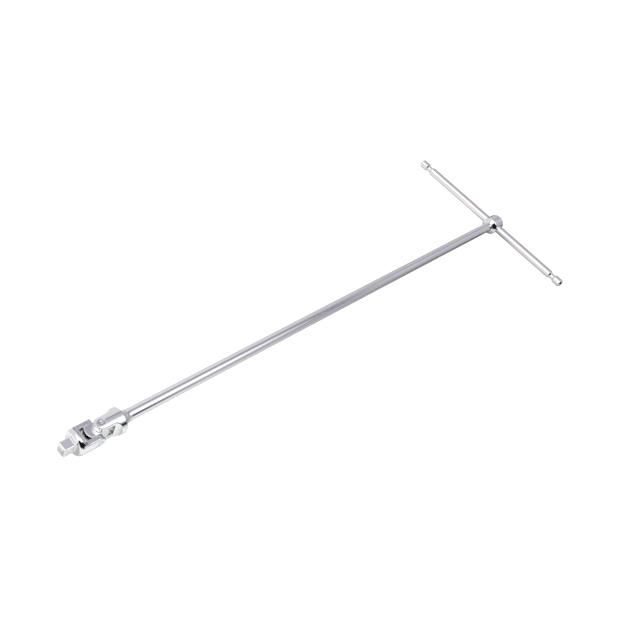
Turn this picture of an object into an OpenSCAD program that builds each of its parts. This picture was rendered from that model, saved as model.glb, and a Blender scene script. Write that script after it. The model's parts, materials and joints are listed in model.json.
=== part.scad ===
// Sliding T-handle driver with a two-pin universal joint at its drive end.
// X runs along the shaft from the tip of the drive square (x = 0) to the handle,
// Y runs along the sliding bar and Z points up when the tool lies on a bench.

/* [Drive square] */
// Width across the flats of the drive square
square_w = 9.5; // [9:0.1:10]
// Length of the drive square from its tip to the yoke's nose
square_len = 10.7; // [9:0.1:12]
// Width of the bevel around the tip of the drive square
square_bevel = 1.4; // [0.6:0.1:1.8]
// Width cut off each long corner of the drive square
square_corner = 0.7; // [0.4:0.1:1]
// Radius of the fillet at the root of the drive square
root_fillet = 1.3; // [0.5:0.1:1.5]
// Diameter of the ball that holds a socket on the drive square
tang_ball_d = 3.5; // [3:0.1:4]
// Height that the ball stands out of the flat it sits in
tang_ball_proud = 0.65; // [0.4:0.05:0.8]

/* [Universal joint] */
// Outside diameter of both yokes
joint_d = 22.8; // [22:0.1:25]
// Distance between the axes of the two crossed pins
pin_gap = 6.25; // [6:0.05:8]
// Diameter of the two pins
pin_d = 5.2; // [4.5:0.1:5.4]
// Diameter of the riveted head at each end of a pin
pin_head_d = 6.6; // [6:0.1:7.2]
// Width of the square centre block
block_w = 11.6; // [10.5:0.1:12]
// Width of the ears of both yokes
ear_w = 11.4; // [10.5:0.1:11.6]
// Distance from the rear pin's axis to the bottom of the shaft yoke's slot
shaft_slot_depth = 11.4; // [11:0.1:12.5]
// Distance from the front pin's axis to the bottom of the drive yoke's slot
drive_slot_depth = 10.2; // [10:0.1:11]

/* [Yoke bodies] */
// Distance from a pin's axis to where the yoke's side flats start to run out
flat_len = 8.7; // [8:0.1:9.5]
// Distance from a pin's axis to where the run-outs end
round_start = 15; // [14:0.1:16]
// Distance from the front pin's axis to the drive yoke's rounded shoulder
nose_len = 14.2; // [13.5:0.1:16]
// Length of the rounded shoulder in front of the drive yoke
shoulder_len = 4.2; // [3:0.1:6]
// Distance from the rear pin's axis to the back face of the shaft yoke
back_len = 20.1; // [19:0.1:24]
// Length of the neck that flares out of the shaft into the shaft yoke
neck_len = 11; // [9:0.5:14]

/* [Shaft and head] */
// Distance from the tip of the drive square to the axis of the sliding bar
reach = 631; // [300:1:900]
// Diameter of the shaft
shaft_d = 10.5; // [10:0.1:12]
// Diameter of the head that the bar slides through
head_d = 20; // [18:0.1:24]
// Length of the head's cylindrical stretch
head_len = 16.4; // [14:0.1:20]
// Length of the cone between the shaft and the head
head_cone_len = 3; // [2:0.1:4]

/* [Sliding bar] */
// Length of the sliding bar
bar_len = 232; // [150:1:300]
// Diameter of the sliding bar
bar_d = 9.6; // [9:0.1:10]
// Distance that the bar is slid towards +Y from its middle
bar_shift = 5.6; // [0:0.1:20]
// Length of the knob at each end of the bar
knob_len = 11; // [8:0.5:15]
// Length of the groove behind each knob, between the middles of its slopes
groove_len = 6; // [4:0.5:8]
// Diameter at the bottom of each groove
groove_d = 6.6; // [6:0.1:8]
// Diameter of the ball that presses on the bar
bar_ball_d = 4; // [3.5:0.1:4]

/* [Hidden] */
$fn = 96;

chrome = [0.86, 0.87, 0.9];
pin_chrome = [0.72, 0.73, 0.78];
steel = [0.6, 0.61, 0.64];

joint_r = joint_d / 2;
ear_r = ear_w / 2;
shaft_r = shaft_d / 2;
bar_r = bar_d / 2;
head_r = head_d / 2;
half_square = square_w / 2;

// How far a cutting shape runs past the surface it cuts
overcut = 1;

// Radial clearance where a part turns or slides, and the gap beside the centre block
running_gap = 0.05;
side_gap = 0.1;
slot_w = block_w + 2 * side_gap;

// Stations along the shaft, from the tip of the drive square
nose_x = square_len + shoulder_len;
front_pin_x = nose_x + nose_len;
rear_pin_x = front_pin_x + pin_gap;
block_x = (front_pin_x + rear_pin_x) / 2;
neck_end_x = rear_pin_x + back_len + neck_len;
head_front_x = reach - head_len / 2;
head_back_x = reach + head_len / 2;
cone_x = head_front_x - head_cone_len;

// Yokes: the side flats run out to the full round along an arc
runout_len = round_start - flat_len;
runout_rise = joint_r - ear_r;
runout_r = (runout_len * runout_len + runout_rise * runout_rise) / (2 * runout_rise);
slot_bottom_r = 30;
ear_tip_bevel = 0.8;
back_bevel = 0.6;
nose_face_r = 7.6;
neck_root_r = 7.6;
neck_end_r = shaft_r + 0.15;
neck_sweep = 2.5;

// Pins: straight shanks with short flared heads riveted into countersinks
pin_half = joint_r - 0.1;
head_flare = (pin_head_d - pin_d) / 2;
head_edge = 0.35;
dimple_r = 1.3;
dimple_depth = 0.45;

// Centre block: a ball with four flats
block_ball_r = joint_r - 0.25;
block_corner = 0.5;

// Spigots that are pressed in at both ends of the shaft
yoke_spigot_d = 7.5;
yoke_spigot_len = 14;
head_spigot_d = 8;
head_web = 1.6;

// Head: bevels at its back edge and at the mouths of its cross bore
head_bevel = 0.5;
mouth_bevel = 0.6;
cone_step = 0.35;

// Bar ball: rides on the bar in a pocket in the shaft's end, kept in by a thin lip in the head
bar_ball_r = bar_ball_d / 2;
bar_bore_r = bar_r + running_gap;
spigot_end_x = reach - bar_bore_r - head_web;
bar_ball_x = reach - bar_r - bar_ball_r - 0.02;
bar_pocket_r = bar_ball_r + running_gap;
bar_pocket_x = spigot_end_x - 11;
bar_lip = 0.35;
bar_lip_r = bar_ball_r - 0.1;

// Socket ball: sits behind a staked lip in the flat on the +Y side
tang_ball_r = tang_ball_d / 2;
tang_ball_x = square_len / 2;
tang_ball_y = half_square + tang_ball_proud - tang_ball_r;
tang_pocket_r = tang_ball_r + running_gap;
tang_pocket_y = -half_square + 1.4;
tang_lip = 0.3;
tang_lip_rise = half_square - tang_lip - tang_ball_y;
tang_lip_r = sqrt(tang_ball_r * tang_ball_r - tang_lip_rise * tang_lip_rise) + 0.03;

// Springs: the coil is narrower than its ball so that it seats on the ball's back
coil_inset = 0.9;
bar_spring_wire = 0.5;
bar_spring_turns = 7;
tang_spring_wire = 0.35;
tang_spring_turns = 5;

// Bar ends
knob_round = 1.9;
groove_slope = 1.3;

// Turns a shape made along Z so that it lies along X, starting at x
module along_x(x = 0) {
    translate([x, 0, 0]) rotate([0, 90, 0]) children();
}

// Turns a shape made along Z so that it lies along Y, starting at y
module along_y(y = 0) {
    translate([0, y, 0]) rotate([-90, 0, 0]) children();
}

// Revolves a profile given as [x, radius] points about the X axis
module turned_x(points) {
    rotate([0, 90, 0]) rotate_extrude() polygon([for (p = points) [p[1], p[0]]]);
}

// A square of half width h with its four corners cut off by c
module cut_square(h, c) {
    polygon([[h - c, h], [-h + c, h], [-h, h - c], [-h, -h + c],
             [-h + c, -h], [h - c, -h], [h, -h + c], [h, h - c]]);
}

// Half profile of a turned part, [radius, height] from the end inwards, and its mirror image
module turned_both_ways(half_profile) {
    last = len(half_profile) - 1;
    mirrored = [for (i = [last:-1:0]) [half_profile[i][0], -half_profile[i][1]]];
    rotate_extrude() polygon(concat(half_profile, mirrored));
}

// Side outline of a fork with its pin at the origin: round ear, flats, run-out and full round
module fork_outline(body_end) {
    difference() {
        union() {
            circle(r = ear_r);
            translate([0, -ear_r]) square([round_start, ear_w]);
            translate([flat_len, -joint_r]) square([body_end - flat_len + overcut, joint_d]);
        }
        for (side = [-1, 1])
            translate([flat_len, side * (ear_r + runout_r)]) circle(r = runout_r);
    }
}

// Slot between a fork's ears, open towards -X, with a slightly hollow bottom
module fork_slot(depth) {
    intersection() {
        translate([-joint_d, -joint_d, -slot_w / 2]) cube([joint_d + depth, 2 * joint_d, slot_w]);
        translate([depth - slot_bottom_r, 0, -slot_w / 2])
            cylinder(r = slot_bottom_r, h = slot_w, $fn = 192);
    }
}

// Countersink in an ear's outer face that a pin's head is riveted into
module rivet_seat() {
    depth = head_flare + overcut;
    translate([0, 0, pin_half - head_flare - head_edge / 2])
        cylinder(r1 = pin_d / 2, r2 = pin_d / 2 + depth, h = depth);
}

// Fork cut from a turned blank: ears on both sides of Z, pin hole along Z at the origin
module fork(blank, body_end, depth) {
    difference() {
        intersection() {
            turned_x(blank);
            linear_extrude(height = 2 * joint_d, center = true) fork_outline(body_end);
        }
        fork_slot(depth);
        cylinder(d = pin_d, h = 2 * joint_d, center = true);
        for (side = [0, 180])
            rotate([side, 0, 0]) rivet_seat();
    }
}

// First points of a fork's blank: bevelled ear tips and the full round
function ear_tips() = [
    [-ear_r - overcut, 0],
    [-ear_r - overcut, joint_r - ear_tip_bevel - overcut],
    [-ear_r + ear_tip_bevel, joint_r]
];

// Pin along Z, with a flared head and a riveting dimple at each end
module riveted_pin() {
    turned_both_ways([
        [0, pin_half - dimple_depth],
        [dimple_r, pin_half],
        [pin_head_d / 2 - head_edge, pin_half],
        [pin_head_d / 2, pin_half - head_edge / 2],
        [pin_d / 2, pin_half - head_edge / 2 - head_flare]
    ]);
}

// Hole through the centre block that a pin turns in, along Z
module block_bore() {
    cylinder(r = pin_d / 2 + running_gap, h = joint_d, center = true);
}

// Helical spring along +Z from the origin
module coil(mean_d, wire_d, length, turns) {
    sides = 8;
    turn_steps = 16;
    steps = turn_steps * turns;
    mean_r = mean_d / 2;
    wire_r = wire_d / 2;
    rise = (length - wire_d) / steps;
    points = [for (i = [0:steps]) for (k = [0:sides - 1])
        let (turn = 360 * i / turn_steps, around = 360 * k / sides, r = mean_r + wire_r * cos(around))
        [r * cos(turn), r * sin(turn), wire_r + rise * i + wire_r * sin(around)]];
    walls = [for (i = [0:steps - 1]) for (k = [0:sides - 1])
        let (j = (k + 1) % sides)
        [i * sides + k, (i + 1) * sides + k, (i + 1) * sides + j, i * sides + j]];
    first = [for (k = [0:sides - 1]) k];
    last = [for (k = [sides - 1:-1:0]) steps * sides + k];
    polyhedron(points = points, faces = concat([first], walls, [last]), convexity = 10);
}

// Where a spring's last coil rests on the back of its ball, measured from the ball's centre
function ball_seat(ball_d, wire_d) =
    sqrt(ball_d * ball_d - pow(ball_d - coil_inset, 2)) / 2 + wire_d / 2;

// Side outline of the drive square: tip bevel, flats and root fillets
module square_outline() {
    h = half_square;
    b = square_bevel;
    upper = concat(
        [[0, h - b], [b, h]],
        [for (a = [0:22.5:90]) [square_len - root_fillet * (1 - sin(a)), h + root_fillet * (1 - cos(a))]],
        [[nose_x, h + root_fillet]]
    );
    last = len(upper) - 1;
    polygon(concat(upper, [for (i = [last:-1:0]) [upper[i][0], -upper[i][1]]]));
}

// Drive square along X, from its tip into the yoke's nose
module drive_square() {
    width = square_w + 2 * root_fillet;
    intersection() {
        along_x() linear_extrude(height = nose_x) cut_square(width / 2, square_corner + root_fillet * 2);
        linear_extrude(height = width, center = true) square_outline();
        rotate([90, 0, 0]) linear_extrude(height = width, center = true) square_outline();
    }
}

// Front yoke with the drive square on its nose and the socket ball's pocket
module drive_yoke() {
    nose_end = nose_len + shoulder_len;
    blank = concat(
        ear_tips(),
        [[nose_len, joint_r]],
        [for (a = [10:10:80])
            [nose_len + shoulder_len * sin(a), nose_face_r + (joint_r - nose_face_r) * cos(a)]],
        [[nose_end, nose_face_r], [nose_end, 0]]
    );
    color(chrome) difference() {
        union() {
            translate([front_pin_x, 0, 0]) rotate([90, 0, 180]) fork(blank, nose_end, drive_slot_depth);
            drive_square();
        }
        translate([tang_ball_x, 0, 0]) along_y(tang_pocket_y)
            cylinder(r = tang_pocket_r, h = half_square - tang_lip - tang_pocket_y);
        translate([tang_ball_x, 0, 0]) along_y() cylinder(r = tang_lip_r, h = half_square + overcut);
    }
}

// Ball that snaps into a socket's dimple
module socket_ball() {
    color(steel) translate([tang_ball_x, tang_ball_y, 0]) sphere(d = tang_ball_d);
}

// Spring behind the socket ball
module socket_ball_spring() {
    seat_y = tang_ball_y - ball_seat(tang_ball_d, tang_spring_wire);
    color(steel) translate([tang_ball_x, 0, 0]) along_y(tang_pocket_y)
        coil(tang_ball_d - coil_inset, tang_spring_wire, seat_y - tang_pocket_y, tang_spring_turns);
}

// Pin across the drive yoke's ears
module front_pin() {
    color(pin_chrome) translate([front_pin_x, 0, 0]) rotate([90, 0, 0]) riveted_pin();
}

// Pin across the shaft yoke's ears
module rear_pin() {
    color(pin_chrome) translate([rear_pin_x, 0, 0]) riveted_pin();
}

// Ball with four flats that both pins pass through, one behind the other
module centre_block() {
    color(chrome) difference() {
        intersection() {
            translate([block_x, 0, 0]) sphere(r = block_ball_r);
            along_x(block_x - joint_r) linear_extrude(height = joint_d) cut_square(block_w / 2, block_corner);
        }
        translate([rear_pin_x, 0, 0]) block_bore();
        translate([front_pin_x, 0, 0]) rotate([90, 0, 0]) block_bore();
    }
}

// Rear yoke with the neck that the shaft is pressed into
module shaft_yoke() {
    neck_end = back_len + neck_len;
    blank = concat(
        ear_tips(),
        [[back_len - back_bevel, joint_r], [back_len, joint_r - back_bevel]],
        [for (t = [0:0.125:1])
            [back_len + neck_len * t, neck_end_r + (neck_root_r - neck_end_r) * pow(1 - t, neck_sweep)]],
        [[neck_end, 0]]
    );
    color(chrome) translate([rear_pin_x, 0, 0]) difference() {
        fork(blank, neck_end, shaft_slot_depth);
        along_x(neck_end - yoke_spigot_len) cylinder(d = yoke_spigot_d, h = yoke_spigot_len + overcut);
    }
}

// Long shaft with a spigot at each end and the bar ball's pocket in its rear end
module shaft() {
    color(chrome) difference() {
        union() {
            along_x(neck_end_x) cylinder(d = shaft_d, h = cone_x - neck_end_x);
            along_x(neck_end_x - yoke_spigot_len) cylinder(d = yoke_spigot_d, h = yoke_spigot_len + overcut);
            along_x(cone_x - overcut) cylinder(d = head_spigot_d, h = spigot_end_x - cone_x + overcut);
        }
        along_x(bar_pocket_x) cylinder(r = bar_pocket_r, h = spigot_end_x - bar_pocket_x + overcut);
    }
}

// Cross-bored head that the bar slides through
module handle_head() {
    color(chrome) difference() {
        turned_x([
            [cone_x, 0],
            [cone_x, shaft_r + cone_step],
            [head_front_x, head_r],
            [head_back_x - head_bevel, head_r],
            [head_back_x, head_r - head_bevel],
            [head_back_x, 0]
        ]);
        along_x(cone_x - overcut) cylinder(d = head_spigot_d, h = spigot_end_x - cone_x + overcut);
        along_x(cone_x) cylinder(r = bar_pocket_r, h = reach - bar_bore_r - bar_lip - cone_x);
        along_x(cone_x) cylinder(r = bar_lip_r, h = reach - cone_x);
        translate([reach, 0, 0]) along_y(-head_d) cylinder(r = bar_bore_r, h = 2 * head_d);
        for (side = [0, 180])
            translate([reach, 0, 0]) rotate([side, 0, 0]) along_y(head_r - mouth_bevel)
                cylinder(r1 = bar_bore_r, r2 = bar_bore_r + mouth_bevel + overcut, h = mouth_bevel + overcut);
    }
}

// Handle bar with a knob and a groove at each end
module sliding_bar() {
    half = bar_len / 2;
    knob_end = half - knob_len;
    groove_end = knob_end - groove_len;
    slope = groove_slope / 2;
    color(chrome) translate([reach, bar_shift, 0]) along_y() turned_both_ways(concat(
        [[0, half]],
        [for (a = [0:18:90]) [bar_r - knob_round * (1 - sin(a)), half - knob_round * (1 - cos(a))]],
        [
            [bar_r, knob_end + slope],
            [groove_d / 2, knob_end - slope],
            [groove_d / 2, groove_end + slope],
            [bar_r, groove_end - slope]
        ]
    ));
}

// Ball that drags on the bar and drops into its grooves
module bar_ball() {
    color(steel) translate([bar_ball_x, 0, 0]) sphere(d = bar_ball_d);
}

// Spring behind the bar ball
module bar_ball_spring() {
    seat_x = bar_ball_x - ball_seat(bar_ball_d, bar_spring_wire);
    color(steel) along_x(bar_pocket_x)
        coil(bar_ball_d - coil_inset, bar_spring_wire, seat_x - bar_pocket_x, bar_spring_turns);
}

drive_yoke();
socket_ball();
socket_ball_spring();
front_pin();
centre_block();
rear_pin();
shaft_yoke();
shaft();
handle_head();
sliding_bar();
bar_ball();
bar_ball_spring();
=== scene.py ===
import json
import math

import bpy
import numpy as np
from mathutils import Matrix, Vector


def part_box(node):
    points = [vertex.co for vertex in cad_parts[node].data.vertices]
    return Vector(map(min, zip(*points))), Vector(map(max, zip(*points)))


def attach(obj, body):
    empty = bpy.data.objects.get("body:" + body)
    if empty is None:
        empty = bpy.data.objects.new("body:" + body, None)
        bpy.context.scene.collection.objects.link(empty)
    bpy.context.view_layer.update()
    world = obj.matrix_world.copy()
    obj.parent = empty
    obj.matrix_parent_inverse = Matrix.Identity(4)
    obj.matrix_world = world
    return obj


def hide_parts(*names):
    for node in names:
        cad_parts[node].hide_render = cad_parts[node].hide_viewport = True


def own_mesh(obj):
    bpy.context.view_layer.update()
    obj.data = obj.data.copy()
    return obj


# Sliding T-handle driver with a universal joint: every visible surface is rebuilt here with the
# small fillets of the real chromed parts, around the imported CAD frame. Lengths are millimetres
# until a mesh is made. X runs from the drive square's tip to the handle, Y along the bar, Z up.

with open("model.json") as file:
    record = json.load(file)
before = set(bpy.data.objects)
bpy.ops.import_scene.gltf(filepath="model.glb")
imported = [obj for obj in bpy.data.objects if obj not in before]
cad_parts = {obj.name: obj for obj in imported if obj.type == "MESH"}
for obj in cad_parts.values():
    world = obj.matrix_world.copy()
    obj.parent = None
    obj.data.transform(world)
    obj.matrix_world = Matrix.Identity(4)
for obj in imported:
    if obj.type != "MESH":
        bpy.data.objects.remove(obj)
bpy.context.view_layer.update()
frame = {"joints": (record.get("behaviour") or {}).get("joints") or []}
MM = 0.001


def node_box(node):
    """Lowest and highest corner of a CAD node, in millimetres."""
    low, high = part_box(node)
    return np.array(low) / MM, np.array(high) / MM


def joint_place(name):
    """Where a hinge of the record stands, in millimetres."""
    found = [j for j in frame["joints"] if j["name"] == name][0]
    return np.array(found["pos_m"]) / MM


# ---------------------------------------------------------------- sizes

# Read from the frame
PIN_FRONT_X = joint_place("front_hinge")[0]
PIN_REAR_X = joint_place("rear_hinge")[0]
YOKE_LOW, YOKE_HIGH = node_box("shaft_yoke")
HEAD_LOW, HEAD_HIGH = node_box("handle_head")
BAR_LOW, BAR_HIGH = node_box("sliding_bar")
BALL_LOW, BALL_HIGH = node_box("bar_ball")
TANG_LOW, TANG_HIGH = node_box("socket_ball")

# Slope of a 45 degree face, and the play between parts that turn or slide
DIAGONAL = math.sqrt(0.5)
GAP = 0.05

# Ears, slots and block of the universal joint
JOINT_R = YOKE_HIGH[2]
EAR_R = PIN_REAR_X - YOKE_LOW[0]
EAR_BEVEL = 0.8
FLAT_LEN = 8.7
ROUND_START = 15.0
RUNOUT_RISE = JOINT_R - EAR_R
RUNOUT_R = ((ROUND_START - FLAT_LEN) ** 2 + RUNOUT_RISE ** 2) / (2 * RUNOUT_RISE)
BLOCK_HALF = node_box("centre_block")[1][1]
BLOCK_INSET = 0.25
SLOT_HALF = BLOCK_HALF + 0.1
SLOT_FLOOR_R = 30.0
SLOT_FLOOR_REACH = 20.0
DRIVE_SLOT_DEPTH = 10.2
SHAFT_SLOT_DEPTH = 11.4

# Riveted pins
PIN_R = 2.6
PIN_HEAD_R = 3.3
PIN_RIM = 0.175
PIN_HALF = JOINT_R - 0.1
PIN_FLARE = PIN_HEAD_R - PIN_R
PIN_DISH = 0.5

# Drive end
HALF_SQUARE = 4.75
SQUARE_LEN = 10.7
SQUARE_CORNER = 0.7
SQUARE_BEVEL = 1.4
SHOULDER_LEN = 4.2
SHOULDER_R = 4.0
NOSE_X = SQUARE_LEN + SHOULDER_LEN
NOSE_LEN = PIN_FRONT_X - NOSE_X

# Shaft and the yoke's neck
SHAFT_R = 5.25
BACK_LEN = 20.1
NECK_END_X = YOKE_HIGH[0]
NECK_LEN = NECK_END_X - PIN_REAR_X - BACK_LEN
NECK_START = 5.0
NECK_FLARE = 2.2
NECK_CURVE = 2.5
NECK_STEP = 0.15
YOKE_SPIGOT_R = 3.75
YOKE_SPIGOT_LEN = 14.0
YOKE_SPIGOT_X = NECK_END_X - YOKE_SPIGOT_LEN

# Head
REACH = (BAR_LOW[0] + BAR_HIGH[0]) / 2
HEAD_R = HEAD_HIGH[1]
HEAD_FRONT_X = 2 * REACH - HEAD_HIGH[0]
HEAD_SPIGOT_R = 4.0
HEAD_SPIGOT_END = node_box("shaft")[1][0]
CONE_X = HEAD_LOW[0]
CONE_STEP = 0.35
CONE_SLOPE = math.atan2(HEAD_R - SHAFT_R - CONE_STEP, HEAD_FRONT_X - CONE_X)

# Bar
BAR_R = (BAR_HIGH[0] - BAR_LOW[0]) / 2
BAR_HALF = (BAR_HIGH[1] - BAR_LOW[1]) / 2
BAR_MIDDLE_Y = (BAR_LOW[1] + BAR_HIGH[1]) / 2
BAR_BORE_R = BAR_R + GAP
KNOB_LEN = 11.0
KNOB_BEVEL = 1.9
GROOVE_LEN = 6.0
GROOVE_R = 3.3
KNOB_WALL = 0.65  # half the length of the groove's slope on the knob's side
HEAD_WALL = 1.0  # and on the head's side

# Spring-loaded balls
BAR_BALL_R = (BALL_HIGH[0] - BALL_LOW[0]) / 2
BAR_BALL_X = (BALL_HIGH[0] + BALL_LOW[0]) / 2
BAR_POCKET_R = BAR_BALL_R + GAP
BAR_POCKET_LEN = 11.0
BAR_POCKET_X = HEAD_SPIGOT_END - BAR_POCKET_LEN
BAR_LIP = 0.35
BAR_LIP_R = BAR_BALL_R - 0.1
TANG_BALL_R = (TANG_HIGH[1] - TANG_LOW[1]) / 2
TANG_BALL_X = (TANG_HIGH[0] + TANG_LOW[0]) / 2
TANG_BALL_Y = (TANG_HIGH[1] + TANG_LOW[1]) / 2
TANG_POCKET_R = TANG_BALL_R + GAP
TANG_POCKET_FLOOR = 1.4
TANG_POCKET_Y = -HALF_SQUARE + TANG_POCKET_FLOOR
TANG_LIP = 0.3
TANG_LIP_GAP = 0.03
TANG_TAPER_START = TANG_BALL_Y + 0.2
SPRING_INSET = 0.45
BAR_WIRE_R = 0.25
BAR_SPRING_TURNS = 8
TANG_WIRE_R = 0.175
TANG_SPRING_TURNS = 6

# Fineness of the meshes
CELL = 0.2
PIN_SEGMENTS = 96
SHAFT_SEGMENTS = 160
BAR_SEGMENTS = 128
BALL_SEGMENTS = 64
BALL_RINGS = 33


# ---------------------------------------------------------------- distance fields

def round_max(a, b, fillet):
    """Where two solids overlap, with the edge between them rounded."""
    corner = np.hypot(np.maximum(a + fillet, 0), np.maximum(b + fillet, 0))
    return np.minimum(-fillet, np.maximum(a, b)) + corner


def round_min(a, b, fillet):
    """Two solids joined, with a fillet where they meet."""
    return -round_max(-a, -b, fillet)


def cut(solid, tool, fillet):
    """A solid less a tool, with the rim of the cut rounded."""
    return round_max(solid, -tool, fillet)


# ---------------------------------------------------------------- meshes

def left_of(d):
    """The direction a quarter turn to the left of d."""
    return np.array([-d[1], d[0]])


def rounded(corners, steps=6):
    """A profile's corners (x, r, fillet) as points with exact normals, left of the way it runs."""
    place = [np.array(c[:2], float) for c in corners]
    ways = [(b - a) / np.linalg.norm(b - a) for a, b in zip(place[:-1], place[1:])]
    points, normals = [place[0]], [left_of(ways[0])]
    for i in range(1, len(corners) - 1):
        into, out = ways[i - 1], ways[i]
        fillet = corners[i][2]
        turn = math.atan2(into[0] * out[1] - into[1] * out[0], into @ out)
        side = fillet if turn > 0 else -fillet
        centre = place[i] - into * fillet * abs(math.tan(turn / 2)) + left_of(into) * side
        for k in range(steps + 1):
            a = turn * k / steps
            way = np.array([into[0] * math.cos(a) - into[1] * math.sin(a),
                            into[0] * math.sin(a) + into[1] * math.cos(a)])
            points.append(centre - left_of(way) * side)
            normals.append(left_of(way))
    points.append(place[-1])
    normals.append(left_of(ways[-1]))
    return np.array(points), np.array(normals)


def make_object(name, points, faces, normals):
    """A smooth mesh object from points in millimetres, polygons and one normal a point."""
    mesh = bpy.data.meshes.new(name)
    mesh.from_pydata((np.asarray(points) * MM).tolist(), [], faces)
    mesh.validate()
    mesh.polygons.foreach_set("use_smooth", [True] * len(mesh.polygons))
    mesh.normals_split_custom_set_from_vertices([tuple(n) for n in np.asarray(normals)])
    mesh.update()
    obj = bpy.data.objects.new(name, mesh)
    bpy.context.scene.collection.objects.link(obj)
    return obj


def axis_frame(axis):
    """An axis and two directions across it."""
    axis = np.array(axis, float)
    side = np.array([0, 1.0, 0]) if abs(axis[2]) > 0.5 else np.array([0, 0, 1.0])
    return axis, side, np.cross(side, axis)


def ring_faces(low, high, segments):
    """Faces between two rings of a turned piece; a ring of one point is a pole."""
    faces = []
    for k in range(segments):
        j = (k + 1) % segments
        if len(low) == 1:
            faces.append([low[0], high[k], high[j]])
        elif len(high) == 1:
            faces.append([low[j], low[k], high[0]])
        else:
            faces.append([low[j], low[k], high[k], high[j]])
    return faces


def turned(name, profile, axis, origin, segments):
    """A turned piece: its profile runs from the axis round the outside and back to the axis."""
    axis, side, other = axis_frame(axis)
    origin = np.array(origin, float)
    angles = np.arange(segments) * 2 * math.pi / segments
    around = np.outer(np.cos(angles), side) + np.outer(np.sin(angles), other)
    verts, vert_normals, rings = [], [], []
    on_axis = 1e-6
    for (x, r), (nx, nr) in zip(*profile):
        if r < on_axis:
            rings.append([len(verts)])
            verts.append(origin + axis * x)
            vert_normals.append(axis * (1 if nx > 0 else -1))
            continue
        rings.append(list(range(len(verts), len(verts) + segments)))
        verts.extend(origin + axis * x + around * r)
        vert_normals.extend(axis * nx + around * nr)
    faces = []
    for low, high in zip(rings[:-1], rings[1:]):
        faces.extend(ring_faces(low, high, segments))
    return make_object(name, verts, faces, vert_normals)


def rise(distance, p, h):
    """Unit direction in which a distance field rises at points p, from steps of h."""
    g = np.zeros_like(p)
    for a in range(3):
        step = np.zeros(3)
        step[a] = h
        g[:, a] = distance(*(p + step).T) - distance(*(p - step).T)
    g /= 2 * h
    return g / np.maximum(np.linalg.norm(g, axis=1, keepdims=True), 1e-9)


def surface_net(value, axes, cell):
    """Rough points and quads of the surface where a grid of distances changes sign."""
    shape = value.shape
    total = np.zeros((value.size, 3))
    count = np.zeros(value.size)
    loops = []
    for a in range(3):
        ahead = [slice(None)] * 3
        behind = [slice(None)] * 3
        ahead[a], behind[a] = slice(1, None), slice(None, -1)
        v0, v1 = value[tuple(behind)], value[tuple(ahead)]
        index = np.argwhere((v0 < 0) != (v1 < 0))
        a0, a1 = v0[tuple(index.T)], v1[tuple(index.T)]
        crossing = np.stack([axes[k][index[:, k]] for k in range(3)], 1)
        crossing[:, a] += a0 / (a0 - a1) * cell
        b, c = (a + 1) % 3, (a + 2) % 3
        corners = []
        for db, dc in ((-1, -1), (0, -1), (0, 0), (-1, 0)):
            where = index.copy()
            where[:, b] += db
            where[:, c] += dc
            corners.append((where[:, 0] * shape[1] + where[:, 1]) * shape[2] + where[:, 2])
            np.add.at(total, corners[-1], crossing)
            np.add.at(count, corners[-1], 1)
        quad = np.stack(corners, 1)
        quad[a0 >= 0] = quad[a0 >= 0][:, ::-1]
        loops.append(quad)
    used = np.flatnonzero(count)
    number = np.full(value.size, -1)
    number[used] = np.arange(len(used))
    return total[used] / count[used][:, None], number[np.concatenate(loops)]


def pull_to_surface(distance, p, quads, cell):
    """Even out the points along the surface, and move them onto it."""
    edges = np.concatenate([quads[:, [k, (k + 1) % 4]] for k in range(4)])
    degree = np.bincount(edges[:, 0], minlength=len(p))[:, None]
    rounds, even_rounds, slope_step = 7, 4, 0.01
    for i in range(rounds):
        out = rise(distance, p, slope_step)
        if i < even_rounds:
            mean = np.zeros_like(p)
            np.add.at(mean, edges[:, 0], p[edges[:, 1]])
            shift = mean / degree - p
            p = p + 0.5 * (shift - (shift * out).sum(1, keepdims=True) * out)
        p = p - out * np.clip(distance(*p.T), -cell / 2, cell / 2)[:, None]
    return p


def solid_mesh(name, distance, low, high, cell):
    """Surface of a distance field as quads, pulled onto the exact surface with exact normals."""
    axes = [np.arange(a - 1.5 * cell, b + 2.5 * cell, cell) for a, b in zip(low, high)]
    value = distance(*np.meshgrid(*axes, indexing="ij"))
    p, quads = surface_net(value, axes, cell)
    p = pull_to_surface(distance, p, quads, cell)
    normal_step = 0.04
    return make_object(name, p, quads.tolist(), rise(distance, p, normal_step))


# ---------------------------------------------------------------- shapes

def barrel_distance(x, rho):
    """The round of a yoke round its ears: the outside cylinder with its ear tips bevelled."""
    tips = (rho - x - JOINT_R - EAR_R + EAR_BEVEL) * DIAGONAL
    return round_max(rho - JOINT_R, tips, fillet=0.4)


def fork_distance(x, y, z, body, slot_depth):
    """A yoke with its pin along z at the origin, its flats at both ends of y and its body at +x."""
    across = np.abs(y)
    side = np.where(x < 0, np.hypot(x, y), across) - EAR_R
    runout = RUNOUT_R - np.hypot(x - FLAT_LEN, across - EAR_R - RUNOUT_R)
    solid = round_max(body, np.where(x < FLAT_LEN, side, runout), fillet=0.55)
    reach = np.minimum(y * y, SLOT_FLOOR_REACH ** 2)
    bottom = slot_depth - SLOT_FLOOR_R + np.sqrt(SLOT_FLOOR_R ** 2 - reach)
    slot = round_max(np.abs(z) - SLOT_HALF, x - bottom, fillet=0.5)
    solid = cut(solid, slot, fillet=0.35)
    from_pin = np.hypot(x, y) - PIN_R
    flare_start = PIN_HALF - PIN_FLARE - PIN_RIM
    seat = np.minimum(from_pin, (from_pin - np.abs(z) + flare_start) * DIAGONAL)
    return cut(solid, seat, fillet=0.12)


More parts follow.
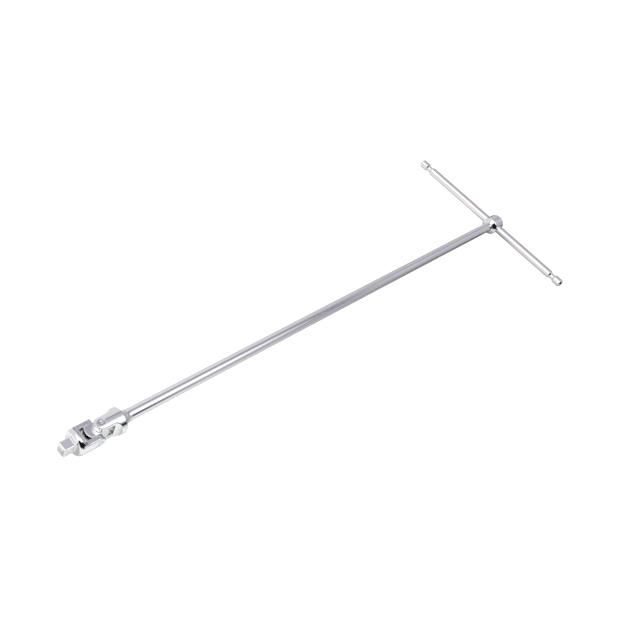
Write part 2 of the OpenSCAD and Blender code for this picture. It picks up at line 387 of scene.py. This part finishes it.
def square_distance(x, y, z):
    """The drive square with its cut corners and rounded tip."""
    ay, az = np.abs(y), np.abs(z)
    corner = (ay + az - 2 * HALF_SQUARE + SQUARE_CORNER) * DIAGONAL
    sides = round_max(ay - HALF_SQUARE, az - HALF_SQUARE, fillet=0.1)
    solid = round_max(sides, corner, fillet=0.4)
    bevel_y = (ay - x - HALF_SQUARE + SQUARE_BEVEL) * DIAGONAL
    bevel_z = (az - x - HALF_SQUARE + SQUARE_BEVEL) * DIAGONAL
    bevels = round_max(bevel_y, bevel_z, fillet=0.5)
    solid = round_max(solid, bevels, fillet=0.7)
    solid = round_max(solid, -x, fillet=0.6)
    return round_max(solid, x - NOSE_X, fillet=0.1)


def tang_pocket_distance(x, y, z):
    """The hole of the square's ball; its mouth narrows so that the ball can't fall out."""
    lip_rise = HALF_SQUARE - TANG_LIP - TANG_BALL_Y
    mouth_r = math.sqrt(TANG_BALL_R ** 2 - lip_rise ** 2) + TANG_LIP_GAP
    taper = (TANG_POCKET_R - mouth_r) / (HALF_SQUARE - TANG_TAPER_START)
    narrowing = taper * np.maximum(y - TANG_TAPER_START, 0)
    wall = np.hypot(x - TANG_BALL_X, z) - TANG_POCKET_R + narrowing
    return np.maximum(wall, TANG_POCKET_Y - y)


def drive_yoke_distance(x, y, z):
    """Front fork, its rounded shoulder and the drive square."""
    back = PIN_FRONT_X - x
    barrel = barrel_distance(back, np.hypot(y, z))
    body = round_max(barrel, back - NOSE_LEN - SHOULDER_LEN, fillet=SHOULDER_R)
    fork = fork_distance(back, z, y, body, DRIVE_SLOT_DEPTH)
    solid = round_min(fork, square_distance(x, y, z), fillet=1.3)
    return cut(solid, tang_pocket_distance(x, y, z), fillet=0.2)


def shaft_yoke_distance(x, y, z):
    """Rear fork with a neck that flares into it, bored for the shaft's spigot."""
    local = x - PIN_REAR_X
    rho = np.hypot(y, z)
    body = round_max(barrel_distance(local, rho), local - BACK_LEN, fillet=0.9)
    left = np.clip(1 - (local - BACK_LEN) / NECK_LEN, 0, 1)
    slope = NECK_CURVE * NECK_FLARE / NECK_LEN * left ** (NECK_CURVE - 1)
    neck = (rho - SHAFT_R - NECK_STEP - NECK_FLARE * left ** NECK_CURVE) / np.hypot(1, slope)
    neck = round_max(neck, local - BACK_LEN - NECK_LEN, fillet=0.15)
    neck = round_max(neck, NECK_START - local, fillet=0.1)
    solid = round_min(body, neck, fillet=0.8)
    solid = fork_distance(local, y, z, solid, SHAFT_SLOT_DEPTH)
    bore = np.maximum(rho - YOKE_SPIGOT_R, YOKE_SPIGOT_X - x)
    return cut(solid, bore, fillet=0.08)


def block_distance(x, y, z):
    """Ball with four flats between the forks, bored for both pins."""
    middle = (PIN_FRONT_X + PIN_REAR_X) / 2
    ball = np.sqrt((x - middle) ** 2 + y * y + z * z) - JOINT_R + BLOCK_INSET
    flats = round_max(np.abs(y) - BLOCK_HALF, np.abs(z) - BLOCK_HALF, fillet=0.5)
    solid = round_max(ball, flats, fillet=0.45)
    solid = cut(solid, np.hypot(x - PIN_REAR_X, y) - PIN_R - GAP, fillet=0.25)
    return cut(solid, np.hypot(x - PIN_FRONT_X, z) - PIN_R - GAP, fillet=0.25)


def head_distance(x, y, z):
    """Head with its front cone, cross-bored for the bar and bored for the shaft's spigot."""
    rho = np.hypot(y, z)
    over_cone = rho - SHAFT_R - CONE_STEP
    cone = over_cone * math.cos(CONE_SLOPE) - (x - CONE_X) * math.sin(CONE_SLOPE)
    solid = round_max(rho - HEAD_R, x - HEAD_HIGH[0], fillet=0.7)
    solid = round_max(solid, cone, fillet=0.6)
    solid = round_max(solid, CONE_X - x, fillet=0.2)
    solid = cut(solid, np.hypot(x - REACH, z) - BAR_BORE_R, fillet=0.45)
    spigot = np.maximum(rho - HEAD_SPIGOT_R, x - HEAD_SPIGOT_END)
    pocket = np.maximum(rho - BAR_POCKET_R, x - REACH + BAR_BORE_R + BAR_LIP)
    lip = np.maximum(rho - BAR_LIP_R, x - REACH)
    return cut(solid, np.minimum(np.minimum(spigot, pocket), lip), fillet=0.03)


def mirrored(half):
    """A whole profile from the half of it at +x."""
    return rounded([(-x, r, fillet) for x, r, fillet in half] + half[::-1])


def pin_profile():
    """Riveted pin: a dished head at each end, flared into its countersink."""
    return mirrored([
        (PIN_HALF - PIN_DISH, 0, 0),
        (PIN_HALF - PIN_DISH + 0.04, 0.7, 0.5),
        (PIN_HALF - 0.02, 1.75, 0.4),
        (PIN_HALF, 2.9, 0.3),
        (PIN_HALF - PIN_RIM, PIN_HEAD_R, 0.12),
        (PIN_HALF - PIN_RIM - PIN_FLARE, PIN_R, 0.3),
    ])


def bar_profile():
    """Bar with a bevelled knob and a groove at each end."""
    knob_x = BAR_HALF - KNOB_LEN
    groove_x = knob_x - GROOVE_LEN
    return mirrored([
        (BAR_HALF, 0, 0),
        (BAR_HALF, BAR_R - KNOB_BEVEL, 0.4),
        (BAR_HALF - KNOB_BEVEL, BAR_R, 0.6),
        (knob_x + KNOB_WALL, BAR_R, 0.3),
        (knob_x - KNOB_WALL, GROOVE_R, 0.4),
        (groove_x + HEAD_WALL, GROOVE_R, 0.4),
        (groove_x - HEAD_WALL, BAR_R, 0.3),
    ])


def shaft_profile():
    """Shaft with a spigot at each end and the bar ball's pocket in the head's end."""
    return rounded([
        (YOKE_SPIGOT_X, 0, 0),
        (YOKE_SPIGOT_X, YOKE_SPIGOT_R, 0.4),
        (NECK_END_X, YOKE_SPIGOT_R, 0.1),
        (NECK_END_X, SHAFT_R, 0.12),
        (CONE_X, SHAFT_R, 0.12),
        (CONE_X, HEAD_SPIGOT_R, 0.1),
        (HEAD_SPIGOT_END, HEAD_SPIGOT_R, 0.2),
        (HEAD_SPIGOT_END, BAR_POCKET_R, 0.2),
        (BAR_POCKET_X, BAR_POCKET_R, 0.3),
        (BAR_POCKET_X, 0, 0),
    ])


def ball_profile(r):
    """Half a circle with a point on the axis at each end."""
    angles = np.linspace(0, math.pi, BALL_RINGS)
    points = np.stack([-r * np.cos(angles), r * np.sin(angles)], 1)
    points[[0, -1], 1] = 0
    return points, points / r


def coil(name, mean_r, wire_r, length, turns, axis, origin):
    """A compression spring with closed end coils, from origin along axis."""
    sides, per_turn = 10, 28
    closed_turns, closed_rise = 0.75, 0.14
    steps = int(turns * per_turn)
    u = np.linspace(0, 1, steps + 1)
    closed = closed_turns / turns
    open_part = np.clip((u - closed) / (1 - 2 * closed), 0, 1)
    height = wire_r + (length - 2 * wire_r) * (open_part * (1 - closed_rise) + closed_rise * u)
    axis, side, other = axis_frame(axis)
    verts, normals = [], []
    for h, a in zip(height, u * turns * 2 * math.pi):
        out = side * math.cos(a) + other * math.sin(a)
        centre = np.array(origin) + axis * h + out * mean_r
        for k in range(sides):
            b = 2 * math.pi * k / sides
            n = out * math.cos(b) + axis * math.sin(b)
            verts.append(centre + n * wire_r)
            normals.append(n)
    faces = []
    for i in range(steps):
        here, there = i * sides, (i + 1) * sides
        for k in range(sides):
            j = (k + 1) % sides
            faces.append([here + k, here + j, there + j, there + k])
    faces.append(list(range(sides))[::-1])
    faces.append([steps * sides + k for k in range(sides)])
    return make_object(name, verts, faces, normals)


# ---------------------------------------------------------------- materials

class Nodes:
    """Short hand for building node trees."""

    def __init__(self, tree):
        self.tree = tree
        tree.nodes.clear()

    def add(self, kind, inputs=None, **settings):
        """A node with its settings made and its inputs linked or set."""
        node = self.tree.nodes.new(kind)
        for key, value in settings.items():
            setattr(node, key, value)
        for key, value in (inputs or {}).items():
            self.feed(node.inputs[key], value)
        return node

    def feed(self, socket, value):
        """Link a socket to another one, or give it a plain value."""
        if isinstance(value, bpy.types.NodeSocket):
            self.tree.links.new(value, socket)
        else:
            socket.default_value = value

    def noise(self, place, scale, detail, roughness=0.5):
        """Noise from 0 to 1 at a place."""
        return self.add("ShaderNodeTexNoise", {"Vector": place, "Scale": scale, "Detail": detail,
                                               "Roughness": roughness}).outputs[0]

    def math(self, operation, a, b=0.0):
        return self.add("ShaderNodeMath", {0: a, 1: b}, operation=operation).outputs[0]

    def product(self, first, *others):
        """Several values multiplied."""
        for value in others:
            first = self.math("MULTIPLY", first, value)
        return first

    def ramp(self, value, low, high, to_low=0.0, to_high=1.0):
        """value from low..high to to_low..to_high with soft ends."""
        return self.add("ShaderNodeMapRange", {0: value, 1: low, 2: high, 3: to_low, 4: to_high},
                        interpolation_type="SMOOTHSTEP").outputs[0]

    def band(self, value, low, high, soft):
        """1 between low and high, falling to 0 over soft on both sides."""
        return self.product(self.ramp(value, low - soft, low),
                            self.ramp(value, high, high + soft, 1.0, 0.0))

    def facing(self, direction, centre, outer, inner, outside=0.0, within=1.0):
        """outside beyond outer degrees from centre, within closer than inner degrees."""
        near = self.add("ShaderNodeVectorMath", {0: direction, 1: centre}, operation="DOT_PRODUCT")
        return self.ramp(near.outputs["Value"], math.cos(math.radians(outer)),
                         math.cos(math.radians(inner)), outside, within)

    def mix(self, share, a, b):
        """The colour a where share is 0 and b where it is 1."""
        return self.add("ShaderNodeMix", {0: share, 6: a, 7: b}, data_type="RGBA").outputs[2]


def metal(name, colour, deep, roughness, grain, grain_depth, edge=0.25):
    """Polished metal: polishing lines stretched by grain, smudged roughness, and a painted
    highlight that whitens the base colour on convex edges.
    """
    material = bpy.data.materials.new(name)
    material.use_nodes = True
    n = Nodes(material.node_tree)
    place = n.add("ShaderNodeTexCoord").outputs["Object"]
    lines = n.add("ShaderNodeMapping", {"Vector": place, "Scale": grain}).outputs[0]
    fine = n.noise(lines, 1.0, 5.0, 0.6)
    smudge = n.noise(place, 140.0, 4.0, 0.55)
    cloud = n.noise(place, 45.0, 2.0)
    pits = n.noise(place, 1900.0, 2.0)
    base = n.mix(n.ramp(cloud, 0.35, 0.65), (*colour, 1), (*deep, 1))
    # painted highlight: convex edges get a whiter base colour, as if they caught the light
    painted_edge_highlight = n.ramp(n.add("ShaderNodeNewGeometry").outputs["Pointiness"], 0.52, 0.6, 0.0, edge)
    base = n.mix(painted_edge_highlight, base, (0.97, 0.97, 0.98, 1))
    rough = n.ramp(smudge, 0.3, 0.7, *roughness)
    rough = n.math("ADD", rough, n.ramp(fine, 0.55, 0.8, 0.0, 0.05))
    bump = n.add("ShaderNodeBump", {"Height": fine, "Strength": 1.0, "Distance": grain_depth})
    bump = n.add("ShaderNodeBump", {"Height": pits, "Strength": 1.0, "Distance": grain_depth / 2,
                                    "Normal": bump.outputs[0]})
    shader = n.add("ShaderNodeBsdfPrincipled", {
        "Base Color": base, "Metallic": 1.0, "Roughness": rough, "Normal": bump.outputs[0]})
    n.add("ShaderNodeOutputMaterial", {"Surface": shader.outputs[0]})
    return material


def build_materials():
    """Every slot's metal. Grain is in lines a metre along X, Y and Z, its depth in metres."""
    chrome, shade = (0.80, 0.80, 0.81), (0.77, 0.77, 0.785)
    soft, bright = (0.79, 0.79, 0.80), (0.83, 0.83, 0.835)
    steel, dull = (0.70, 0.70, 0.71), (0.66, 0.66, 0.68)
    rows = [
        ("yoke_chrome", chrome, shade, (0.045, 0.09), (260, 260, 260), 2e-7),
        ("block_chrome", soft, shade, (0.05, 0.1), (300, 900, 900), 3e-7),
        ("shaft_chrome", soft, shade, (0.06, 0.1), (14, 1500, 1500), 4e-7),
        ("head_chrome", chrome, shade, (0.05, 0.09), (1400, 160, 160), 3e-7),
        ("bar_chrome", bright, chrome, (0.05, 0.09), (1500, 14, 1500), 3e-7),
        ("pin_steel", chrome, (0.70, 0.70, 0.72), (0.08, 0.16), (900, 900, 900), 1.2e-6, 0.4),
        ("ball_steel", steel, dull, (0.04, 0.08), (500, 500, 500), 1e-7),
        ("spring_steel", (0.42, 0.42, 0.43), (0.34, 0.34, 0.36), (0.25, 0.4),
         (700, 2200, 2200), 1e-6),
    ]
    return {row[0]: metal(*row) for row in rows}


# ---------------------------------------------------------------- build

materials = build_materials()


def finish_piece(obj, node, body, slot):
    """Give a piece its material and the body it rides, and hide the CAD node it stands for."""
    obj.data.materials.append(materials[slot])
    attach(obj, body)
    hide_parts(node)


def field_piece(name, distance, node, body, slot):
    """A piece meshed from its distance field, in the box of its CAD node."""
    low, high = node_box(node)
    finish_piece(solid_mesh(name, distance, low, high, CELL), node, body, slot)


def turned_piece(name, profile, axis, origin, segments, node, body, slot):
    """A piece turned from its profile."""
    finish_piece(turned(name, profile, axis, origin, segments), node, body, slot)


def spring_piece(name, mean_r, wire_r, turns, axis, origin, node, body):
    """A spring that stands on origin and reaches its CAD node's top."""
    along = int(np.argmax(axis))
    length = node_box(node)[1][along] - origin[along]
    spring = coil(name, mean_r, wire_r, length, turns, axis, origin)
    finish_piece(spring, node, body, "spring_steel")
    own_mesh(spring)


def build_meshed_pieces():
    """Both yokes, the block between them and the head."""
    field_piece("drive_yoke_body", drive_yoke_distance, "drive_yoke", "drive", "yoke_chrome")
    field_piece("shaft_yoke_body", shaft_yoke_distance, "shaft_yoke", "handle", "yoke_chrome")
    field_piece("joint_block", block_distance, "centre_block", "block", "block_chrome")
    field_piece("cross_bored_head", head_distance, "handle_head", "handle", "head_chrome")


def build_turned_pieces():
    """Both rivet pins, the shaft and the sliding bar."""
    turned_piece("rear_rivet_pin", pin_profile(), (0, 0, 1), (PIN_REAR_X, 0, 0),
                 PIN_SEGMENTS, "rear_pin", "handle", "pin_steel")
    turned_piece("front_rivet_pin", pin_profile(), (0, 1, 0), (PIN_FRONT_X, 0, 0),
                 PIN_SEGMENTS, "front_pin", "drive", "pin_steel")
    turned_piece("long_shaft", shaft_profile(), (1, 0, 0), (0, 0, 0),
                 SHAFT_SEGMENTS, "shaft", "handle", "shaft_chrome")
    turned_piece("handle_bar", bar_profile(), (0, 1, 0), (REACH, BAR_MIDDLE_Y, 0),
                 BAR_SEGMENTS, "sliding_bar", "bar", "bar_chrome")


def build_balls():
    """Both spring-loaded balls and their springs."""
    turned_piece("bar_detent_ball", ball_profile(BAR_BALL_R), (1, 0, 0), (BAR_BALL_X, 0, 0),
                 BALL_SEGMENTS, "bar_ball", "bar_ball", "ball_steel")
    turned_piece("tang_ball", ball_profile(TANG_BALL_R), (0, 1, 0), (TANG_BALL_X, TANG_BALL_Y, 0),
                 BALL_SEGMENTS, "socket_ball", "socket_ball", "ball_steel")
    spring_piece("bar_detent_spring", BAR_BALL_R - SPRING_INSET, BAR_WIRE_R, BAR_SPRING_TURNS,
                 (1, 0, 0), (BAR_POCKET_X, 0, 0), "bar_ball_spring", "handle")
    spring_piece("tang_spring", TANG_BALL_R - SPRING_INSET, TANG_WIRE_R, TANG_SPRING_TURNS,
                 (0, 1, 0), (TANG_BALL_X, TANG_POCKET_Y, 0), "socket_ball_spring", "drive")


# ---------------------------------------------------------------- studio

# The studio is laid out for what the chrome mirrors. Two dark things stand in it: the opening the
# camera looks through, and a stand in front of the tool. Their edges are in degrees from the
# middle: where the dark begins, and where it is full.
OPENING = Vector((-0.75, -0.6, 0.25)).normalized()
OPENING_EDGE = (31, 27)
STAND = Vector((-0.08, -0.95, 0.28)).normalized()
STAND_EDGE = (32, 27)
SHEET_DROP = 16  # millimetres under the tool
SHEET_HALF = 6.0  # metres


def floor_object():
    """A square sheet, low enough for the drive end to swing down."""
    top = -(JOINT_R + SHEET_DROP) * MM
    corners = [(-1, -1), (1, -1), (1, 1), (-1, 1)]
    mesh = bpy.data.meshes.new("floor")
    points = [(x * SHEET_HALF, y * SHEET_HALF, top) for x, y in corners]
    mesh.from_pydata(points, [], [(0, 1, 2, 3)])
    obj = bpy.data.objects.new("floor", mesh)
    bpy.context.scene.collection.objects.link(obj)
    return obj


def white_sheet(n, place):
    """What the camera sees of the floor: lit paper with a little glow of its own."""
    grain = n.noise(place, 60.0, 3.0)
    paper = n.mix(grain, (0.41, 0.41, 0.41, 1), (0.43, 0.43, 0.43, 1))
    diffuse = n.add("ShaderNodeBsdfDiffuse", {"Color": paper}).outputs[0]
    lift = n.add("ShaderNodeEmission", {"Color": (1, 1, 1, 1), "Strength": 0.76}).outputs[0]
    return n.add("ShaderNodeAddShader", {0: diffuse, 1: lift}).outputs[0]


def mirrored_sheet(n, place):
    """What the chrome sees of the floor: a glow with painted shadow, dimmer close to the tool,
    close to the head, beside the bar, towards the handle's end and in front of the dark things."""
    along, beside, _ = n.add("ShaderNodeSeparateXYZ", {0: place}).outputs
    from_shaft = n.math("ABSOLUTE", beside)
    from_bar = n.math("ABSOLUTE", n.math("SUBTRACT", along, REACH * MM))
    nearest = n.math("MINIMUM", from_shaft, from_bar)
    square_sum = n.math("ADD", n.product(from_shaft, from_shaft), n.product(from_bar, from_bar))
    from_head = n.math("SQRT", square_sum)
    incoming = n.add("ShaderNodeNewGeometry").outputs["Incoming"]
    ray_x = n.product(n.add("ShaderNodeSeparateXYZ", {0: incoming}).outputs[0], -1.0)
    by_bar = n.product(n.ramp(along, 0.35, 0.55), n.ramp(beside, -0.02, 0.02, 0.26, 0.1))
    # painted shadow: the floor's glow is dimmed where the tool and the dark things would shade it
    strength = n.product(
        n.ramp(ray_x, 0.42, 0.88, 1.14, 0.32),
        n.ramp(nearest, 0.0, 0.034, 0.5, 1.0),
        n.ramp(nearest, 0.06, 0.16, 1.0, 0.76),
        n.facing(incoming, -OPENING, *OPENING_EDGE, 1.0, 0.03),
        n.facing(incoming, -STAND, *STAND_EDGE, 1.0, 0.1),
        n.ramp(from_head, 0.01, 0.05, 0.66, 1.0),
        n.math("SUBTRACT", 1.0, by_bar))
    hue = n.mix(n.ramp(nearest, 0.05, 0.12), (0.98, 1.0, 0.985, 1), (0.93, 0.96, 1.04, 1))
    return n.add("ShaderNodeEmission", {"Color": hue, "Strength": strength}).outputs[0]


def build_floor():
    """A pale sheet, white to the camera and shaded in the chrome."""
    obj = floor_object()
    material = bpy.data.materials.new("floor_white")
    material.use_nodes = True
    n = Nodes(material.node_tree)
    place = n.add("ShaderNodeTexCoord").outputs["Object"]
    seen = n.add("ShaderNodeLightPath").outputs["Is Camera Ray"]
    both = n.add("ShaderNodeMixShader", {0: seen, 1: mirrored_sheet(n, place),
                                         2: white_sheet(n, place)}).outputs[0]
    n.add("ShaderNodeOutputMaterial", {"Surface": both})
    obj.data.materials.append(material)


def grey(value, blue=1.12):
    """A grey of the tent with its lavender cast."""
    return (value, value, value * blue, 1)


def ceiling(n, dx, dy, dz, lean):
    """Bright over the drive end and dimmer towards the handle, with a soft box beside the shaft."""
    bright = (1.7, 1.7, 1.7, 1)
    rose = (0.98, 0.79, 0.80)
    ice = (0.72, 0.88, 0.98, 1)
    sky = n.mix(n.ramp(dx, -0.8, 0.22), bright, grey(0.62))
    sky = n.mix(n.ramp(dx, 0.47, 0.56), sky, grey(0.54))
    tinted = n.add("ShaderNodeVectorMath", {0: sky, 1: rose}, operation="MULTIPLY").outputs[0]
    sky = n.mix(n.band(dx, -0.35, 0.3, 0.15), sky, tinted)
    cool = n.product(n.ramp(dy, 0.1, 0.3, 1.0, 0.0), n.ramp(dz, 0.05, 0.8, 1.0, 0.0),
                     n.ramp(dx, -0.6, -0.3, 1.0, 0.0))
    sky = n.mix(cool, sky, ice)
    box = n.product(n.ramp(lean, -62, -42), n.ramp(lean, -28, 6, 1.0, 0.0),
                    n.ramp(dx, 0.54, 0.72, 1.0, 0.0))
    sky = n.mix(box, sky, bright)
    far = n.mix(n.band(lean, -32, -18, 28), grey(0.5), grey(0.68))
    sky = n.mix(n.ramp(dx, 0.66, 0.77), sky, far)
    seam_place = n.math("DIVIDE", n.math("ADD", dx, n.product(dy, 0.5)), dz)
    seam = n.product(n.band(seam_place, 0.87, 0.94, 0.11), n.band(dx, 0.45, 0.68, 0.1), 0.9)
    return n.mix(seam, sky, grey(0.25, 1.25))


def walls(n, sky, dx, lean):
    """Walls behind the tool and in front of it, and the dim far end."""
    wall = n.mix(n.ramp(dx, 0.55, 0.8), (0.88, 0.87, 0.88, 1), (0.60, 0.59, 0.60, 1))
    wall = n.mix(n.ramp(lean, 60, 95), wall, (0.9, 0.9, 0.9, 1))
    sky = n.mix(n.ramp(lean, 25, 42), sky, wall)
    low = n.product(n.ramp(lean, -66, -78, 0.0, 1.0), n.ramp(dx, -0.6, 0.0))
    sky = n.mix(low, sky, grey(0.56))
    return n.mix(n.ramp(dx, 0.86, 0.97), sky, grey(0.34, 1.1))


def dark_things(n, sky, d, dx, lean):
    """The gap beside the soft box, the opening and the stand."""
    gap = n.product(n.ramp(lean, -90, -85), n.ramp(lean, -72, -54, 1.0, 0.0),
                    n.band(dx, -0.4, 0.5, 0.08))
    sky = n.mix(gap, sky, grey(0.03))
    sky = n.mix(n.facing(d, OPENING, *OPENING_EDGE), sky, grey(0.01))
    return n.mix(n.facing(d, STAND, *STAND_EDGE), sky, grey(0.01))


def build_sky():
    """A light tent seen in the chrome, white to the camera. lean is the angle round the shaft, 0
    overhead and +90 at the horizon behind the tool; dx runs from the drive end (-1) to the
    handle's end (+1)."""
    world = bpy.data.worlds.new("light_tent")
    bpy.context.scene.world = world
    world.use_nodes = True
    n = Nodes(world.node_tree)
    d = n.add("ShaderNodeTexCoord").outputs["Generated"]
    dx, dy, dz = n.add("ShaderNodeSeparateXYZ", {0: d}).outputs
    lean = n.product(n.math("ARCTAN2", dy, dz), 180 / math.pi)
    sky = walls(n, ceiling(n, dx, dy, dz, lean), dx, lean)
    sky = dark_things(n, sky, d, dx, lean)
    seen = n.add("ShaderNodeLightPath").outputs["Is Camera Ray"]
    sky = n.mix(seen, sky, (1.05, 1.05, 1.05, 1))
    glow = n.add("ShaderNodeBackground", {"Color": sky, "Strength": 1.0})
    n.add("ShaderNodeOutputWorld", {"Surface": glow.outputs[0]})


def build_lamp():
    """One large soft lamp above the tool, hidden from the chrome."""
    light = bpy.data.lights.new("overhead_lamp", "AREA")
    light.shape = "RECTANGLE"
    light.size, light.size_y = 1.2, 0.8
    light.energy = 6.0
    lamp = bpy.data.objects.new("overhead_lamp", light)
    lamp.location = (0.1, -0.5, 1.4)
    aim = Vector((0.3, 0, 0))
    lamp.rotation_euler = (aim - lamp.location).to_track_quat("-Z", "Y").to_euler()
    lamp.visible_glossy = False
    bpy.context.scene.collection.objects.link(lamp)


def build_camera():
    """The photograph's viewpoint: above and beside the drive end, rolled clockwise."""
    aim = Vector((0.2965, 0.0093, 0))
    distance = 0.876
    azimuth, elevation, roll = (math.radians(a) for a in (65.64, 41.36, 28.5))
    level = math.cos(elevation)
    ahead = Vector((math.sin(azimuth) * level, math.cos(azimuth) * level, -math.sin(elevation)))
    data = bpy.data.cameras.new("camera")
    data.sensor_width = 36.0
    lens_to_width = 900 / 620
    data.lens = lens_to_width * data.sensor_width
    data.clip_start, data.clip_end = 0.01, 50
    camera = bpy.data.objects.new("camera", data)
    turn = ahead.to_track_quat("-Z", "Y").to_matrix() @ Matrix.Rotation(roll, 3, "Z")
    camera.matrix_world = Matrix.Translation(aim - ahead * distance) @ turn.to_4x4()
    bpy.context.scene.collection.objects.link(camera)
    bpy.context.scene.camera = camera


build_meshed_pieces()
build_turned_pieces()
build_balls()
build_floor()
build_sky()
build_lamp()
build_camera()
bpy.context.scene.view_settings.view_transform = "Standard"
